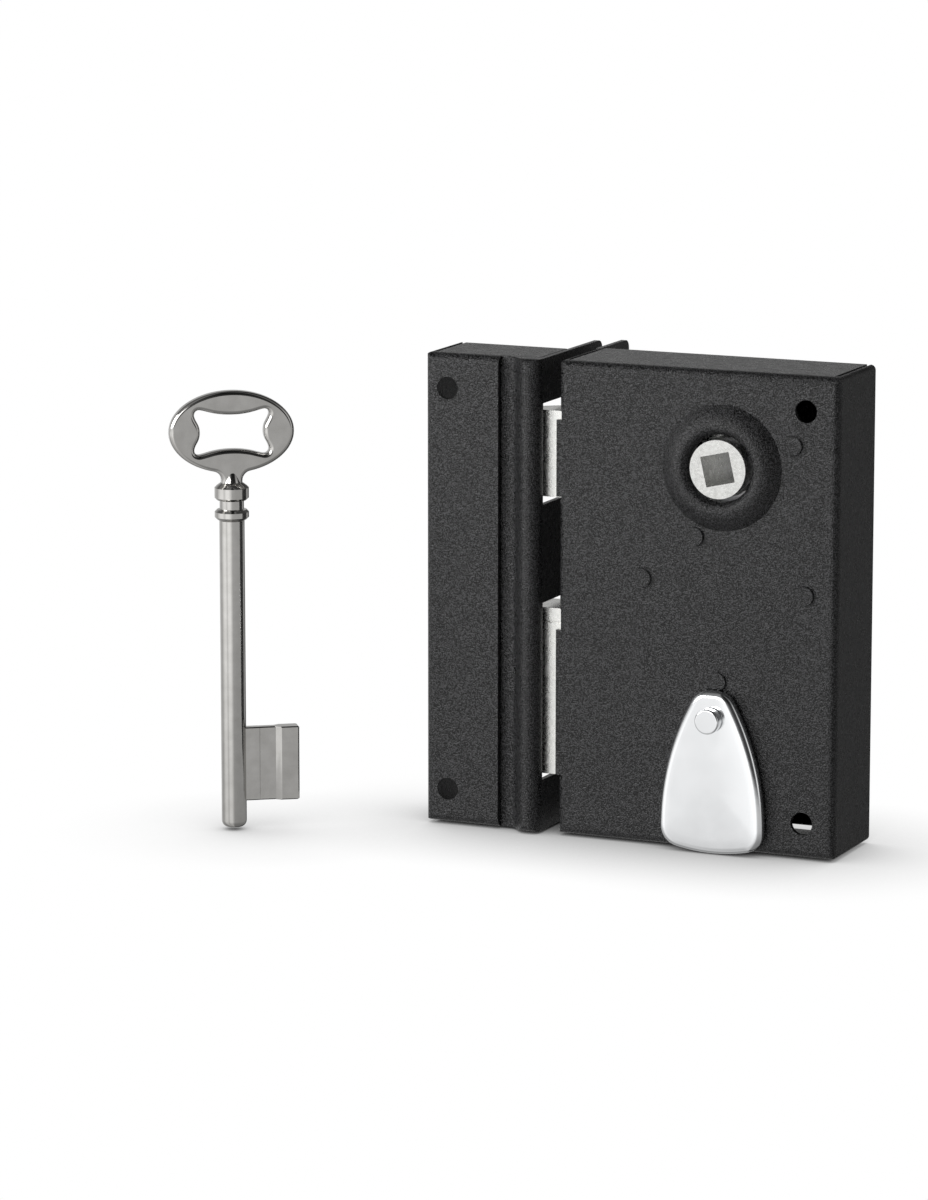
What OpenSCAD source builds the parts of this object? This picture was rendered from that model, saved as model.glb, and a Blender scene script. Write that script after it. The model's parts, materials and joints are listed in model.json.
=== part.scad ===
// Rim box lock: folded case with sprung latch, key-thrown dead bolt, keyhole cover, keeper and key.
// Origin: spindle axis where it meets the door face. +Y goes into the door, +Z is up, millimetres.

/* [Case] */
// Width of the case, from the forend face to the far side
case_w = 68; // [64:0.5:80]
// Height of the case, and of the keeper
case_h = 110; // [106:0.5:130]
// Depth of the case, from its front to the door face
case_d = 23; // [22:0.5:30]
// Thickness of the folded sheet
sheet = 1.2; // [0.8:0.1:1.6]
// Outer radius of the folds
bend_r = 2; // [1.7:0.1:3]
// Radius of the corners of the case's and the keeper's fronts
corner_r = 1.2; // [0.8:0.1:2]
// Width of the gap where two flanges meet at a corner
seam = 0.9; // [0.4:0.1:1.5]
// How far the forend laps the door's edge, past the door face
forend_lap = 16; // [10:0.5:20]
// How far the bottom flange stops short of the door face
floor_short = 0.5; // [0:0.5:6]
// Play between the case and its back plate
plate_play = 0.3; // [0.2:0.05:0.6]
// Gap under the back plate
plate_slit = 1.2; // [0.4:0.1:1.6]

/* [Follower] */
// Distance of the spindle axis from the forend face
backset = 40; // [38:0.5:42]
// Distance of the spindle axis below the top of the case
spindle_drop = 22; // [21:0.5:25]
// Side of the square spindle hole
spindle_square = 7; // [6:0.5:8]
// Turn of the spindle hole at rest, in degrees
square_turn = 13; // [0:1:20]
// Diameter of the follower's journals
hub_d = 13.4; // [12.4:0.2:14]
// Diameter of the follower's drum, between the plates
drum_d = 18; // [17:0.5:19]
// How far the follower's face stands in front of the case
hub_proud = 2.7; // [1:0.1:4]
// Diameter of the pressed boss around the follower
boss_d = 28.8; // [27:0.1:29]
// Height of the pressed boss
boss_h = 2.7; // [2:0.1:3.5]
// Gap between the boss and the follower's face
boss_gap = 1; // [0.6:0.1:1.2]
// Radial play of the follower in the back plate
journal_play = 0.06; // [0.03:0.01:0.1]
// Reach of the arm that draws the latch, to the middle of its round nose
arm_reach = 15.5; // [14.5:0.25:15.5]
// Width of the follower's arms
arm_w = 5; // [4:0.25:5.5]
// Thickness of the follower's arms
arm_t = 4; // [3:0.25:5]
// Reach of the lower arm, which the follower's spring pushes
heel_reach = 11; // [10.5:0.25:11.5]
// Turn of the handle that draws the latch fully, in degrees
handle_turn = 38; // [30:1:39]

/* [Bolts] */
// Thickness of both bolts, front to back
bolt_t = 11; // [9:0.5:12]
// How far the bolts lie behind the front of the case
bolt_set = 3; // [2.75:0.25:4]
// Height of the latch
latch_h = 20; // [18:0.5:22]
// How far the latch stands out of the forend
latch_throw = 10; // [8:0.5:12]
// Thickness of the latch at its tip
latch_tip = 3.5; // [2:0.25:5]
// Height of the dead bolt
dead_h = 39; // [37:0.5:40]
// Height of the dead bolt's lower edge above the bottom of the case
dead_up = 13.2; // [12:0.2:14]
// How far the dead bolt stands out of the forend, which is also its travel
dead_throw = 14; // [11:0.5:14]
// Height of the smooth strip along the top of the dead bolt
dead_strip = 3.1; // [2:0.1:4]
// Width and depth of the fine groove under that strip
strip_groove = 0.35; // [0.2:0.05:0.6]
// Length of the bolt heads inside the case
head_in = 8; // [7:0.5:9]
// Thickness of the tail plates that carry the bolt heads
tail_t = 3; // [2.5:0.25:3.5]
// Depth of the slots in the heads that hold the tails
tail_seat = 9; // [7:0.5:10]
// Diameter of the rivets that hold the heads on their tails
tail_rivet_d = 3; // [2:0.25:3.5]
// Play of the bolts in the forend's slots
bolt_play = 0.3; // [0.2:0.05:0.5]

/* [Catch lever] */
// Thickness of the lever that catches the dead bolt
lever_t = 2; // [1.5:0.25:2.5]
// Lift of the lever as the bolt is drawn, in degrees
lever_lift = 6.5; // [5.5:0.25:7]
// How deep the lever's stump sits in the bolt's notch
stump_catch = 1; // [0.6:0.1:1.2]
// Width of the stump
stump_w = 3; // [2.5:0.25:3.5]
// Distance of the stump from the lever's post
stump_out = 23.6; // [22:0.2:24]
// Width of the lever's bar, which carries the stump
lever_bar_w = 5; // [4:0.25:6]
// Height of the bar above the dead bolt's tail
lever_bar_up = 4; // [3.5:0.25:4.5]
// Distance of the lever's hanging arm from its post
lever_arm_out = 3.5; // [3:0.25:4.5]
// Width of the lever's hanging arm
lever_arm_w = 6; // [4:0.25:6.5]
// How far the lever's foot reaches past the key's axis
lever_foot_out = 6; // [4:0.25:7]
// Width of the lever's ring outside its spacer tubes
ring_w = 1.5; // [1:0.1:1.6]

/* [Key and keyhole] */
// Height of the key's axis above the bottom of the case
key_up = 18.8; // [18.4:0.1:19.2]
// Distance of the key's axis from the forend face
key_backset = 39; // [38:0.5:40]
// Length of the key
key_l = 102.1; // [95:0.1:115]
// Diameter of the key's stem
stem_d = 5.8; // [5:0.1:6.2]
// Reach of the bit from the stem
bit_w = 12.2; // [11:0.1:12.6]
// Length of the bit along the stem
bit_l = 17.3; // [15:0.1:17.8]
// Distance of the bit from the key's tip
bit_up = 6.2; // [5:0.1:7]
// Thickness of the bit's web
bit_t = 2.2; // [1.5:0.1:3]
// Thickness of the bit's outer lip
lip_t = 3.6; // [3.2:0.1:4]
// Width of the bit's outer lip
lip_w = 4.6; // [3:0.1:6]
// Width of the bow
bow_w = 28.8; // [26:0.2:34]
// Height of the bow
bow_h = 19; // [17:0.2:22]
// Thickness of the bow
bow_t = 3.4; // [2.5:0.1:4]
// Half width and half height that the bow's hole is drawn from
bow_hole = [10, 5.6]; // [4:0.1:11]
// How far the middles of the hole's sides are drawn in
bow_pinch = 0.27; // [0.1:0.01:0.3]
// Diameter of the two collars
collar_d = 8; // [7:0.1:9]
// Height of the upper and of the lower collar
collar_h = [3.4, 2.3]; // [1.5:0.1:4]
// Height of the groove between the collars
groove_h = 2.2; // [1.5:0.1:3]
// Diameter of the groove, and of the neck above the collars
neck_d = 5.2; // [4.5:0.1:6]
// Height of the neck between the upper collar and the bow
neck_h = 2.9; // [2:0.1:4]
// Play of the key in the keyhole, each side
key_play = 0.4; // [0.2:0.05:0.5]
// Where the key stands: left of the forend, in front of the case, in millimetres
key_stand = [71, 24]; // [20:0.1:90]
// How far the standing key is turned, in degrees
key_turn = 35; // [0:1:60]

/* [Keyhole cover] */
// Height of the cover's pivot above the bottom of the case
cover_pivot_up = 30.7; // [30:0.1:31.2]
// Height of the cover's top above its pivot
cover_top = 6.5; // [6:0.1:7]
// Radius of the cover's round top and of its lower corners
cover_round = 5; // [4:0.1:5.5]
// Half width of the cover at its widest
cover_half = 12.6; // [11.5:0.1:14]
// Radius of the cover's long sides
cover_side_r = 60; // [55:0.5:70]
// Radius of the cover's lower edge
cover_base_r = 40; // [30:1:60]
// Height of the cover's lower edge above the bottom of the case
cover_lift = -0.5; // [-1:0.1:1]
// How far the cover's face stands in front of the case
cover_proud = 3.4; // [2.5:0.1:4]
// Thickness of the cover's sheet
cover_t = 1; // [0.6:0.1:1.2]
// Gap between the cover's rim and the riveted ends that it passes
cover_gap = 0.3; // [0.2:0.05:0.5]
// Diameter of the cover rivet's head
cover_head_d = 5.8; // [5:0.1:7]
// Height of the cover rivet's head
cover_head_h = 2.4; // [1.5:0.1:2.8]

/* [Keeper] */
// Width of the keeper
keeper_w = 29; // [27:0.5:36]
// Depth of the keeper's box
keeper_d = 18.5; // [18:0.5:22]
// Gap between the keeper and the forend
keeper_gap = 4.3; // [3:0.1:6]
// Depth of the keeper's side plate, from the front of the case
strike_d = 36; // [30:0.5:42]
// Width of the keeper's flat front
keeper_front_w = 18.4; // [16:0.2:19]
// How far the keeper's bead stands in front of its flat front
bead_proud = 2; // [1:0.1:3]
// Radius of the bead where it turns into the side plate
bead_r = 3; // [2:0.1:3.5]
// Width of the bead's slope, from its crest to its foot
bead_slope = 5; // [3:0.1:6]
// How far the side plate's leaf runs under the flat front
leaf_lap = 4; // [2:0.5:6]
// Depth of the groove between the flat front and the bead, below the leaf
valley_d = 0.6; // [0.4:0.1:0.7]
// Play of the latch and of the dead bolt in the keeper, above and below
keeper_play = [1.7, 1.3]; // [0.8:0.1:2]
// Where the keeper's slots start behind the front of the case
keeper_slot_set = 1.4; // [1:0.1:2]

/* [Fixings] */
// Diameter of the screw holes in the fronts
fix_d = 5.2; // [4:0.1:6]
// Distance of the case's screw holes from its far side
fix_edge = 8; // [7:0.25:9]
// Distance of the screw holes from the top and the bottom
fix_end = 8; // [7:0.25:9]
// Distance of the keeper's screw holes from its outer side
keeper_fix_edge = 5.7; // [5:0.1:8]
// Diameter of the screw holes in the forend and the keeper's side plate
lap_fix_d = 4.5; // [3.5:0.1:5]
// Distance of those holes from the top and the bottom
lap_fix_end = 16; // [12:0.5:20]
// Diameter of the posts between the plates
post_d = 5; // [4.5:0.1:5.4]
// Diameter of the posts' riveted ends
rivet_d = 4.3; // [4:0.1:5]
// How far the riveted ends stand out of the front
rivet_proud = 0.6; // [0.3:0.05:0.7]
// Diameter of the riveted necks in the front plate
rivet_neck_d = 3.2; // [2.5:0.1:3.6]
// Diameter of the back plate's screws
screw_d = 3; // [2:0.25:3]
// Diameter of the screws' heads
screw_head_d = 5.4; // [5:0.1:5.6]
// Length of the screws
screw_l = 7; // [5:0.5:9]
// Diameter of the springs' wire
wire_d = 1; // [0.7:0.1:1.1]
// Wall of the tubes round the lever's post
spacer_wall = 1.5; // [1:0.1:1.6]

/* [Posts] */
// Distance of the latch spring's post from the far side of the case
latch_post_in = 10.9; // [10:0.1:12]
// Height of the latch spring's post above the spindle axis
latch_post_up = 6.1; // [5.5:0.1:6.3]
// Distance of the follower spring's post left of the spindle axis
follower_post_out = 6.4; // [5.5:0.1:7.5]
// Distance of the follower spring's post below the spindle axis
follower_post_drop = 16.1; // [15.8:0.1:17]
// Distance of the lever's post from the forend face
lever_post_in = 20.9; // [20:0.1:22]
// Height of the lever's post above the dead bolt
lever_post_up = 9.3; // [8.5:0.1:10]
// Distance of the lever spring's post from the far side of the case
lever_spring_in = 7.8; // [7.2:0.1:9]
// Height of the lever spring's post above the dead bolt
lever_spring_up = 8.1; // [7:0.1:9.5]
// Distance of the dead bolt's guide post right of the key's axis
bolt_post_out = 0.3; // [0:0.1:1]
// Height of the dead bolt's guide post above the key's axis
bolt_post_up = 20.2; // [20:0.1:21]

/* [Hidden] */
$fn = 64;

// Paint and metal colours
black = [0.10, 0.10, 0.105];
zinc = [0.78, 0.79, 0.80];
nickel = [0.70, 0.69, 0.67];
steel = [0.55, 0.56, 0.58];

// Edges of the case, seen from the spindle axis
left = -backset;
right = case_w - backset;
top = spindle_drop;
bottom = spindle_drop - case_h;
front = -case_d;
inner_front = front + sheet;
inner_back = -sheet;

// Overshoot of cuts, least gap between moving pieces, gap of seated pieces, gap between layers
over = 1;
small = 0.3;
fit = 0.05;
layer_gap = 0.5;

// Layers between the plates, from the front
bolt_y = front + bolt_set;
latch_tail_y = bolt_y + layer_gap;
dead_tail_y = bolt_y + (bolt_t - tail_t) / 2;
drum_y = latch_tail_y + tail_t + 2 * layer_gap;
arm_y = drum_y + layer_gap;
spring_y = arm_y - layer_gap;

// Springs' turns, and the lever's layer behind the follower's spring
coil_r = post_d / 2 + wire_d / 2 + layer_gap;
coil_pitch = wire_d + layer_gap;
coil_turns = 2;
lever_y = spring_y + coil_pitch * coil_turns + wire_d + small;

// Heights of the bolts and the key, [x, z] places of the posts
latch_z = -latch_h / 2;
dead_z = bottom + dead_up;
dead_top = dead_z + dead_h;
key_at = [left + key_backset, bottom + key_up];
cover_at = [left + key_backset, bottom + cover_pivot_up];
latch_post = [right - latch_post_in, latch_post_up];
follower_post = [-follower_post_out, -follower_post_drop];
lever_post = [left + lever_post_in, dead_top + lever_post_up];
lever_spring_at = [right - lever_spring_in, dead_top + lever_spring_up];
bolt_post = [key_at[0] + bolt_post_out, key_at[1] + bolt_post_up];
POSTS = [latch_post, follower_post, lever_post, lever_spring_at, bolt_post];
fix_holes = [for (z = [bottom + fix_end, top - fix_end]) [right - fix_edge, z]];

// Travel of the latch, from the arm's reach and the handle's turn
latch_travel = arm_reach * handle_turn * PI / 180;
guide_d = post_d + 2 * bolt_play;

// The key's bit sweeps a circle and pushes in a notch under the dead bolt's tail
bit_reach = stem_d / 2 + bit_w;
bit_bite = 2.6;
tail_low = key_at[1] + bit_reach - bit_bite;
half_chord = sqrt(pow(bit_reach, 2) - pow(tail_low - key_at[1], 2));
talon_w = 2 * half_chord - dead_throw + lip_t;
talon_x = key_at[0] - dead_throw / 2 - talon_w / 2;
talon_top = key_at[1] + bit_reach + 2 * small;
tail_top = dead_top - dead_strip;
dead_tail_end = right - sheet - dead_throw - over;

// The stump's place and rise, and the bolt's free travel until the stump is clear
stump_x = lever_post[0] + stump_out;
stump_rise = stump_out * sin(lever_lift);
notch_slack = dead_throw * (stump_catch + small) / stump_rise;

// Keeper edges
strike_x = left - keeper_gap;
keeper_left = strike_x - keeper_w;
keeper_back = front + keeper_d;

// Basic shapes
module block(low, high) {
    translate(low) cube(high - low);
}

module plate(y0, y1) {
    translate([0, y1, 0]) rotate([90, 0, 0]) linear_extrude(y1 - y0) children();
}

module bar_x(x0, x1) {
    translate([x0, 0, 0]) rotate([90, 0, 90]) linear_extrude(x1 - x0) children();
}

module rod_y(at, d, y0, y1) {
    translate([at[0], y0, at[1]]) rotate([-90, 0, 0]) cylinder(d = d, h = y1 - y0);
}

module rod_x(y, z, d, x0, x1) {
    translate([x0, y, z]) rotate([0, 90, 0]) cylinder(d = d, h = x1 - x0);
}

// A level slot with round ends
module slot(x0, x1, z, d) {
    translate([x0, z - d / 2]) square([x1 - x0, d]);
    for (x = [x0, x1]) translate([x, z]) circle(d = d);
}

// A plan whose two front corners are round
module round_plan(x0, x1, y0, y1, r) {
    translate([x0 + r, y0]) square([x1 - x0 - 2 * r, y1 - y0]);
    translate([x0, y0 + r]) square([x1 - x0, y1 - y0 - r]);
    for (x = [x0 + r, x1 - r]) translate([x, y0 + r]) circle(r);
}

// A side view whose two front corners are round
module round_side(y0, y1, z0, z1, r) {
    translate([y0, z0 + r]) square([y1 - y0, z1 - z0 - 2 * r]);
    translate([y0 + r, z0]) square([y1 - y0 - r, z1 - z0]);
    for (z = [z0 + r, z1 - r]) translate([y0 + r, z]) circle(r);
}

// A block with its four front edges rounded
module pressed(low, high, r) {
    intersection() {
        translate([0, 0, low[2]]) linear_extrude(high[2] - low[2])
            round_plan(low[0], high[0], low[1], high[1], r);
        bar_x(low[0], high[0]) round_side(low[1], high[1], low[2], high[2], r);
    }
}

// A front view whose four corners are round
module round_face(x0, x1, z0, z1, r) {
    translate([x0, z0 + r]) square([x1 - x0, z1 - z0 - 2 * r]);
    translate([x0 + r, z0]) square([x1 - x0 - 2 * r, z1 - z0]);
    for (x = [x0 + r, x1 - r], z = [z0 + r, z1 - r]) translate([x, z]) circle(r);
}

module keyhole() {
    slot_w = lip_t + 2 * key_play;
    reach = bit_reach + key_play;
    translate(key_at) circle(d = stem_d + 2 * key_play);
    translate([key_at[0] - slot_w / 2, key_at[1] - reach]) square([slot_w, reach]);
}

// Sheet-metal case: the front, its flanges and the forend are one folded sheet
boss_lip_w = 2;
boss_lip_drop = 2.2;
boss_inner = hub_d / 2 + boss_gap;
boss_crest = boss_inner + boss_lip_w;
boss_steps = 8;

function boss_outer(t) =
    let (r = boss_crest + (boss_d / 2 - boss_crest) * (1 - t))
    [r, boss_h * sin(90 * t)];

function boss_lip(t) =
    [boss_inner + boss_lip_w * (1 - sin(90 * t)), boss_h - boss_lip_drop * (1 - cos(90 * t))];

module boss() {
    outer = [for (i = [0 : boss_steps]) boss_outer(i / boss_steps)];
    lip = [for (i = [1 : boss_steps]) boss_lip(i / boss_steps)];
    skin = concat(outer, lip);
    lining = [for (i = [len(skin) - 1 : -1 : 0]) [skin[i][0], skin[i][1] - sheet]];
    translate([0, front, 0]) rotate([90, 0, 0]) rotate_extrude() polygon(concat(skin, lining));
}

module corner_seams() {
    flange_y = front + bend_r + small;
    for (x = [left + sheet, right - sheet - seam], z = [bottom - over, top - sheet - small])
        block([x, flange_y, z], [x + seam, over, z + sheet + small + over]);
}

// A bolt's slot runs through the fold, and a flat tongue of the front stays beside it
tongue_out = 0.4;
notch_in = 0.6;
latch_relief = [0.7, 1.6];
dead_relief = [0.7, dead_strip + 1.3];

module bolt_slot(z0, z1) {
    slot_back = bolt_y + bolt_t + bolt_play;
    block([left - over, front - over, z0 - bolt_play], [left + notch_in, slot_back, z1 + bolt_play]);
    block([left - over, front + bend_r, z0 - bolt_play], [left + sheet + small, slot_back, z1 + bolt_play]);
}

module tongue(z0, z1, relief) {
    block([left - tongue_out, front, z0 + relief[0]],
          [left + bend_r + 2 * small, inner_front, z1 - relief[1]]);
}

module forend_wing() {
    wing_r = 2;
    translate([left, 0, 0]) rotate([90, 0, 90]) linear_extrude(sheet) {
        translate([-over, bottom]) square([forend_lap - wing_r + over, case_h]);
        translate([0, bottom + wing_r]) square([forend_lap, case_h - 2 * wing_r]);
        for (z = [bottom + wing_r, top - wing_r]) translate([forend_lap - wing_r, z]) circle(wing_r);
    }
}

module case_shell() color(black) {
    difference() {
        union() {
            difference() {
                intersection() {
                    pressed([left, front, bottom], [right, 0, top], bend_r);
                    plate(front - over, over) round_face(left, right, bottom, top, corner_r);
                }
                pressed([left + sheet, inner_front, bottom + sheet],
                        [right - sheet, over, top - sheet], bend_r - sheet);
                rod_y([0, 0], boss_d - small, front - over, inner_front + over);
                corner_seams();
                block([left + sheet, -floor_short, bottom - over],
                      [right - sheet, over, bottom + sheet + small]);
            }
            boss();
            forend_wing();
        }
        bolt_slot(latch_z, latch_z + latch_h);
        bolt_slot(dead_z, dead_top);
        for (at = fix_holes) rod_y(at, fix_d, front - over, inner_front + over);
        for (at = POSTS) rod_y(at, rivet_neck_d, front - over, inner_front + over);
        rod_y(cover_at, rivet_neck_d, front - over, inner_front + over);
        plate(front - over, inner_front + over) keyhole();
        for (z = [bottom + lap_fix_end, top - lap_fix_end])
            rod_x(forend_lap / 2, z, lap_fix_d, left - over, left + sheet + over);
    }
    tongue(latch_z, latch_z + latch_h, latch_relief);
    tongue(dead_z, dead_top, dead_relief);
}

module back_plate() color(black) difference() {
    block([left + sheet + plate_play, inner_back, bottom + sheet + plate_slit],
          [right - sheet - plate_play, 0, top - sheet - plate_play]);
    rod_y([0, 0], hub_d + 2 * journal_play, inner_back - over, over);
    plate(inner_back - over, over) keyhole();
    for (at = fix_holes) rod_y(at, fix_d, inner_back - over, over);
    for (at = POSTS) rod_y(at, screw_d + 2 * fit, inner_back - over, over);
    for (at = POSTS) screw_head(at, 2 * fit);
}

// Countersunk screws hold the back plate on the posts
module screw_head(at, play) {
    translate([at[0], inner_back, at[1]]) rotate([-90, 0, 0])
        cylinder(d1 = screw_d + play, d2 = screw_head_d + play, h = sheet);
}

module back_plate_screws() color(zinc) {
    for (at = POSTS) {
        screw_head(at, 0);
        rod_y(at, screw_d, -screw_l, inner_back);
    }
}

// A post between the plates, riveted over in front and tapped behind
module post(at) color(steel) difference() {
    union() {
        rod_y(at, post_d, inner_front, inner_back);
        rod_y(at, rivet_neck_d, front, inner_front);
        rod_y(at, rivet_d, front - rivet_proud, front);
    }
    rod_y(at, screw_d + 2 * fit, -screw_l - over, over);
}

module latch_spring_post() post(latch_post);
module follower_spring_post() post(follower_post);
module lever_pivot_post() post(lever_post);
module lever_spring_post() post(lever_spring_at);
module bolt_guide_post() post(bolt_post);

// Two tubes keep the lever in its layer
module lever_spacers() color(steel) {
    for (span = [[inner_front, lever_y - 2 * fit], [lever_y + lever_t + 2 * fit, inner_back]])
        difference() {
            rod_y(lever_post, spacer_d, span[0], span[1]);
            rod_y(lever_post, post_d + 2 * fit, span[0] - over, span[1] + over);
        }
}

// Follower: turned by the spindle, its upper arm draws the latch
module follower() color(zinc) difference() {
    union() {
        rod_y([0, 0], hub_d, front - hub_proud, -small);
        rod_y([0, 0], drum_d, drum_y, inner_back - small);
        block([-arm_w / 2, arm_y, -heel_reach], [arm_w / 2, arm_y + arm_t, arm_reach]);
        for (z = [-heel_reach, arm_reach]) rod_y([0, z], arm_w, arm_y, arm_y + arm_t);
    }
    rotate([0, -square_turn, 0])
        block([-spindle_square / 2, front - hub_proud - over, -spindle_square / 2],
              [spindle_square / 2, over, spindle_square / 2]);
}

// Springs: a leg, a few turns round a post, and a second leg, as one swept wire
turn_steps = 8;
wire_sides = 6;

function bearing(at, p) = atan2(p[1] - at[1], p[0] - at[0]);
function touch_angle(at, p) = acos(coil_r / norm(p - at));

// Wire path from leg end a, round the post at `at`, to leg end b, counter-clockwise or, with way -1, clockwise
function wire_path(at, a, b, y, way) =
    let (
        start = bearing(at, a) + way * touch_angle(at, a),
        stop = bearing(at, b) - way * touch_angle(at, b),
        rest = ((way * (stop - start)) % 360 + 360) % 360,
        sweep = rest + 360 * coil_turns,
        count = round(sweep / 360 * turn_steps),
        turns = [for (i = [0 : count])
            let (angle = start + way * sweep * i / count)
            [at[0] + coil_r * cos(angle), y + coil_pitch * sweep / 360 * i / count, at[1] + coil_r * sin(angle)]]
    )
    concat([[a[0], y, a[1]]], turns, [[b[0], y + coil_pitch * sweep / 360, b[1]]]);

function unit(v) = v / norm(v);
function heading(path, i) = unit(path[min(i + 1, len(path) - 1)] - path[max(i - 1, 0)]);

function wire_ring(path, i) =
    let (along = heading(path, i), side = unit(cross(along, [0, 1, 0])), up = cross(side, along))
    [for (k = [0 : wire_sides - 1])
        path[i] + wire_d / 2 * (cos(360 * k / wire_sides) * side + sin(360 * k / wire_sides) * up)];

// Least gap between points one turn apart
function turn_gap(path) =
    min([for (i = [1 : len(path) - 2 - turn_steps]) norm(path[i + turn_steps] - path[i])]) - wire_d;

module wire(path) {
    count = len(path);
    points = [for (i = [0 : count - 1]) each wire_ring(path, i)];
    sides = [for (i = [0 : count - 2], k = [0 : wire_sides - 1])
        let (a = i * wire_sides + k, b = i * wire_sides + (k + 1) % wire_sides)
        each [[a, a + wire_sides, b], [b, a + wire_sides, b + wire_sides]]];
    last = (count - 1) * wire_sides;
    caps = [for (k = [1 : wire_sides - 2]) each [[0, k, k + 1], [last, last + k + 1, last + k]]];
    polyhedron(points, concat(sides, caps));
    echo(spring_turn_gap = turn_gap(path));
}

// A leg bears on its piece with a hair's gap; one leg of two springs bears on the far side of the case
wire_reach = wire_d / 2 + 2 * fit;
wall_leg_up = 3;
wall_leg = [right - sheet - wire_reach, wall_leg_up];
lug_x = arm_w / 2 + small;
lug_w = 3;
lug_z = arm_reach * cos(handle_turn) - layer_gap;
latch_tail_top = arm_reach + over;
spacer_d = post_d + 2 * spacer_wall;

module latch_spring() color(steel) {
    lug_leg = [lug_x + lug_w + wire_reach, (lug_z + latch_tail_top) / 2];
    wire(wire_path(latch_post, lug_leg, [wall_leg[0], latch_post[1] + wall_leg[1]], spring_y, -1));
}

module follower_spring() color(steel) {
    along = unit(lever_post - follower_post);
    spacer_leg = lever_post + (spacer_d / 2 + wire_reach) * [along[1], -along[0]];
    heel_leg = [-arm_w / 2 - wire_reach, -heel_reach];
    wire(wire_path(follower_post, spacer_leg, heel_leg, spring_y, -1));
}

// Latch: a bevelled head on a tail plate that slides round the follower
module head_rivets(x, heights) {
    for (z = heights) rod_y([x, z], tail_rivet_d, bolt_y, bolt_y + bolt_t);
}

module rivet_holes(x, heights) {
    for (z = heights) rod_y([x, z], tail_rivet_d + 2 * fit, bolt_y - over, bolt_y + bolt_t + over);
}

rivet_x = left + head_in - tail_seat / 2;
latch_rivet_z = [-latch_h / 4, latch_h / 4];
dead_rivet_in = 5;
dead_rivet_z = [tail_low + dead_rivet_in, tail_top - dead_rivet_in];

module latch_head() color(zinc) difference() {
    tip = left - latch_throw;
    translate([0, 0, latch_z]) linear_extrude(latch_h) polygon([
        [tip, bolt_y], [left + head_in, bolt_y], [left + head_in, bolt_y + bolt_t],
        [left, bolt_y + bolt_t], [tip, bolt_y + latch_tip]
    ]);
    block([left + head_in - tail_seat, latch_tail_y - fit, latch_z - over],
          [left + head_in + over, latch_tail_y + tail_t + fit, latch_z + latch_h + over]);
    rivet_holes(rivet_x, latch_rivet_z);
}

module latch_tail() color(steel) {
    tail_end = right - sheet - latch_travel - 2 * small;
    prong_top = fix_holes[1][1] - fix_d / 2 - layer_gap;
    window_d = hub_d + 2 * bolt_play;
    plate(latch_tail_y, latch_tail_y + tail_t) difference() {
        union() {
            translate([left + head_in - tail_seat + fit, latch_z])
                square([tail_end - left - head_in + tail_seat - fit, latch_h]);
            translate([-drum_d / 2, latch_z]) square([tail_end + drum_d / 2, prong_top - latch_z]);
            translate([-drum_d / 2, latch_z]) square([lug_x + lug_w + drum_d / 2, latch_tail_top - latch_z]);
        }
        slot(-latch_travel - bolt_play, 0, 0, window_d);
        slot(latch_post[0] - latch_travel - bolt_play, latch_post[0] + post_d, latch_post[1], guide_d);
        for (z = latch_rivet_z) translate([rivet_x, z]) circle(d = tail_rivet_d + 2 * fit);
    }
    block([lug_x, latch_tail_y + tail_t - small, lug_z], [lug_x + lug_w, arm_y + arm_t, latch_tail_top]);
}

module latch_rivets() color(steel) head_rivets(rivet_x, latch_rivet_z);

// Dead bolt: the key's bit drives its tail, a post guides it and the lever catches it
module dead_bolt_head() color(zinc) difference() {
    tip = left - dead_throw;
    block([tip, bolt_y, dead_z], [left + head_in, bolt_y + bolt_t, dead_top]);
    block([left + head_in - tail_seat, dead_tail_y - fit, tail_low - fit],
          [left + head_in + over, dead_tail_y + tail_t + fit, tail_top + fit]);
    block([tip - over, bolt_y - over, tail_top - strip_groove],
          [left + head_in + over, bolt_y + strip_groove, tail_top]);
    rivet_holes(rivet_x, dead_rivet_z);
}

module catch_notch(x, slack) {
    translate([x - small - slack, tail_top - stump_catch - small])
        square([stump_w + 2 * small + slack, stump_catch + small + over]);
}

module dead_bolt_tail() color(steel)
    plate(dead_tail_y, dead_tail_y + tail_t) difference() {
        translate([left + head_in - tail_seat + fit, tail_low])
            square([dead_tail_end - left - head_in + tail_seat - fit, tail_top - tail_low]);
        slot(bolt_post[0] - dead_throw - bolt_play, bolt_post[0] + bolt_play, bolt_post[1], guide_d);
        translate([talon_x, tail_low - over]) square([talon_w, talon_top - tail_low + over]);
        catch_notch(stump_x, notch_slack);
        catch_notch(stump_x - dead_throw, 0);
        for (z = dead_rivet_z) translate([rivet_x, z]) circle(d = tail_rivet_d + 2 * fit);
    }

module dead_bolt_rivets() color(steel) head_rivets(rivet_x, dead_rivet_z);

// Lever: hangs on its post, its foot is lifted by the bit and its stump holds the bolt
lever_foot_low = tail_low + 2 * small;
foot_rise = (bolt_post[0] - lever_post[0]) * sin(lever_lift);
lever_foot_top = bolt_post[1] - post_d / 2 - 2 * small - foot_rise;
lever_bar_end = stump_x + stump_w + lever_bar_up;
lever_bar = [tail_top + lever_bar_up, tail_top + lever_bar_up + lever_bar_w];
lever_arm = [lever_post[0] + lever_arm_out, lever_post[0] + lever_arm_out + lever_arm_w];
lever_foot_end = key_at[0] + lever_foot_out;

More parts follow.
